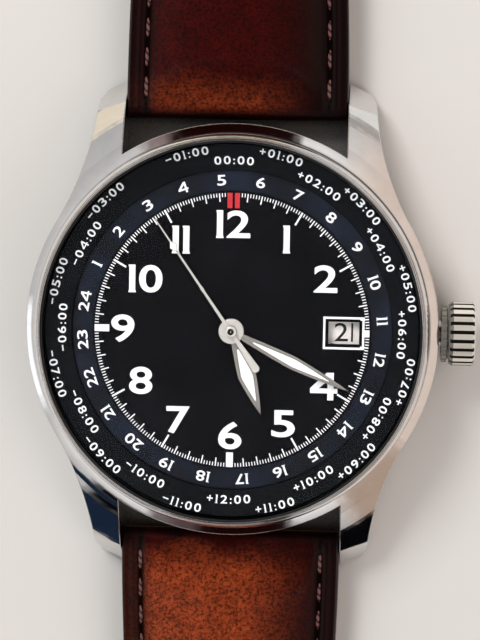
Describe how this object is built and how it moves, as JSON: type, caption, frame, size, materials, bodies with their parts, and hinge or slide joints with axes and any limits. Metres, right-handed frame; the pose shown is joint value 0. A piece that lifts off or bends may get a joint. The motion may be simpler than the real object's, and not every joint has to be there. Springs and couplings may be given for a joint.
{
  "type": "wristwatch",
  "caption": "Round steel automatic wristwatch with a 24-hour ring turned by the movement, a fixed offset ring, a date window, a fluted crown and a padded leather strap lying open.",
  "frame": {"origin": "centre of the case back's outer face", "axes": "+Z out of the crystal, +Y to 12 o'clock along the open strap, +X to the crown"},
  "size_m": [0.0421, 0.2443, 0.0101],
  "materials": {
    "polished_steel": "polished",
    "brushed_steel": "brushed",
    "crystal_glass": "clear, gloss",
    "gasket_rubber": "satin",
    "ring_black": "gloss lacquer",
    "dial_black": "gloss lacquer",
    "date_white": "satin",
    "lume": "matt",
    "gilt_brass": "satin",
    "movement_metal": "rhodium plated, satin",
    "spring_steel": "blued",
    "jewel_red": "gloss",
    "screw_blue": "blued, polished",
    "strap_leather": "polished"
  },
  "bodies": {
    "watch_case": {"case_middle": "polished_steel", "crown_tube": "polished_steel", "bezel": "polished_steel", "crystal_gasket": "gasket_rubber", "crystal": "crystal_glass", "offset_ring": "ring_black", "dial": "dial_black", "date_keeper_plate": "movement_metal", "barrel_arbor": "brushed_steel", "ratchet_wheel": "brushed_steel", "mainspring": "spring_steel", "pallet_bridge": "movement_metal", "hairspring": "spring_steel", "balance_cock": "movement_metal", "main_plate": "movement_metal", "barrel_bridge": "movement_metal", "train_bridge": "movement_metal", "jewels": "jewel_red", "bridge_screws": "screw_blue", "holder_ring": "movement_metal", "rotor_bearing": "brushed_steel", "case_back": "brushed_steel", "back_window": "crystal_glass", "back_gasket": "gasket_rubber", "spring_bars": "brushed_steel"},
    "ring_body": {"ring_24h": "ring_black"},
    "idler_body": {"ring_idler": "gilt_brass"},
    "hour_body": {"hour_wheel": "gilt_brass", "hour_hand": "polished_steel", "hour_lume": "lume"},
    "minute_body": {"cannon_pinion": "polished_steel", "minute_hand": "polished_steel", "minute_lume": "lume"},
    "minute_wheel_body": {"minute_wheel": "gilt_brass"},
    "seconds_body": {"fourth_wheel": "gilt_brass", "seconds_hand": "polished_steel"},
    "third_body": {"third_wheel": "gilt_brass"},
    "second_body": {"second_wheel": "gilt_brass"},
    "barrel_body": {"barrel": "gilt_brass", "barrel_cover": "gilt_brass"},
    "escape_body": {"escape_wheel": "brushed_steel"},
    "pallet_body": {"pallet_fork": "brushed_steel"},
    "balance_body": {"balance_wheel": "gilt_brass"},
    "date_body": {"date_disc": "date_white"},
    "rotor_body": {"rotor": "movement_metal"},
    "pinion_body": {"sliding_pinion": "brushed_steel"},
    "crown_body": {"crown": "polished_steel", "stem": "brushed_steel", "crown_gasket": "gasket_rubber"},
    "strap_short_body": {"strap_short": "strap_leather", "fixed_keeper": "strap_leather", "buckle_bar": "brushed_steel"},
    "strap_long_body": {"strap_long": "strap_leather"},
    "keeper_body": {"sliding_keeper": "strap_leather"},
    "buckle_body": {"buckle_frame": "polished_steel"},
    "tongue_body": {"buckle_tongue": "polished_steel"}
  },
  "joints": [
    {"name": "ring_spin", "type": "hinge", "parent": "watch_case", "child": "ring_body", "pos_m": [0, 0, 0], "axis": [0, 0, 1], "continuous": true},
    {"name": "idler_spin", "type": "hinge", "parent": "watch_case", "child": "idler_body", "pos_m": [-0.00668, 0.00668, 0], "axis": [0, 0, 1], "continuous": true},
    {"name": "hour_spin", "type": "hinge", "parent": "watch_case", "child": "hour_body", "pos_m": [0, 0, 0], "axis": [0, 0, 1], "continuous": true},
    {"name": "minute_wheel_spin", "type": "hinge", "parent": "watch_case", "child": "minute_wheel_body", "pos_m": [-0.00282, -0.00103, 0], "axis": [0, 0, 1], "continuous": true},
    {"name": "minute_spin", "type": "hinge", "parent": "watch_case", "child": "minute_body", "pos_m": [0, 0, 0], "axis": [0, 0, 1], "continuous": true},
    {"name": "seconds_spin", "type": "hinge", "parent": "watch_case", "child": "seconds_body", "pos_m": [0, 0, 0], "axis": [0, 0, 1], "continuous": true},
    {"name": "third_spin", "type": "hinge", "parent": "watch_case", "child": "third_body", "pos_m": [-0.00327, -0.00094, 0], "axis": [0, 0, 1], "continuous": true},
    {"name": "second_spin", "type": "hinge", "parent": "watch_case", "child": "second_body", "pos_m": [-0.00339, 0.00356, 0], "axis": [0, 0, 1], "continuous": true},
    {"name": "barrel_spin", "type": "hinge", "parent": "watch_case", "child": "barrel_body", "pos_m": [0.0015, 0.0066, 0], "axis": [0, 0, 1], "continuous": true},
    {"name": "escape_spin", "type": "hinge", "parent": "watch_case", "child": "escape_body", "pos_m": [0.00221, -0.00221, 0], "axis": [0, 0, 1], "continuous": true},
    {"name": "pallet_swing", "type": "hinge", "parent": "watch_case", "child": "pallet_body", "pos_m": [0.00359, -0.0041, 0], "axis": [0, 0, 1], "range_deg": [-5, 5]},
    {"name": "balance_swing", "type": "hinge", "parent": "watch_case", "child": "balance_body", "pos_m": [0.00519, -0.00629, 0], "axis": [0, 0, 1], "range_deg": [-270, 270], "stiffness_Nm_per_rad": 0.000001},
    {"name": "date_spin", "type": "hinge", "parent": "watch_case", "child": "date_body", "pos_m": [0, 0, 0], "axis": [0, 0, 1], "continuous": true},
    {"name": "rotor_spin", "type": "hinge", "parent": "watch_case", "child": "rotor_body", "pos_m": [0, 0, 0], "axis": [0, 0, 1], "continuous": true},
    {"name": "crown_turn", "type": "hinge", "parent": "watch_case", "child": "pinion_body", "pos_m": [0, 0, 0.0046], "axis": [1, 0, 0], "continuous": true},
    {"name": "crown_pull", "type": "slide", "parent": "pinion_body", "child": "crown_body", "axis": [1, 0, 0], "range_m": [0, 0.0012]},
    {"name": "strap_short_fold", "type": "hinge", "parent": "watch_case", "child": "strap_short_body", "pos_m": [0, 0.0212, 0.0023], "axis": [1, 0, 0], "range_deg": [-95, 10]},
    {"name": "strap_long_fold", "type": "hinge", "parent": "watch_case", "child": "strap_long_body", "pos_m": [0, -0.0212, 0.0023], "axis": [1, 0, 0], "range_deg": [-10, 95]},
    {"name": "keeper_slide", "type": "slide", "parent": "strap_short_body", "child": "keeper_body", "axis": [0, -1, 0], "range_m": [0, 0.02]},
    {"name": "buckle_fold", "type": "hinge", "parent": "strap_short_body", "child": "buckle_body", "pos_m": [0, 0.0962, 0.00225], "axis": [1, 0, 0], "range_deg": [-60, 60]},
    {"name": "tongue_lift", "type": "hinge", "parent": "buckle_body", "child": "tongue_body", "pos_m": [0, 0.0962, 0.00225], "axis": [1, 0, 0], "range_deg": [0, 60]}
  ],
  "couplings": [
    {"joint": "idler_spin", "follows": "ring_spin", "ratio": 4},
    {"joint": "hour_spin", "follows": "ring_spin", "ratio": -2},
    {"joint": "minute_wheel_spin", "follows": "ring_spin", "ratio": 8},
    {"joint": "minute_spin", "follows": "ring_spin", "ratio": -24},
    {"joint": "third_spin", "follows": "seconds_spin", "ratio": -0.13333},
    {"joint": "second_spin", "follows": "seconds_spin", "ratio": 0.016667},
    {"joint": "barrel_spin", "follows": "seconds_spin", "ratio": -0.002381},
    {"joint": "escape_spin", "follows": "seconds_spin", "ratio": -12}
  ]
}
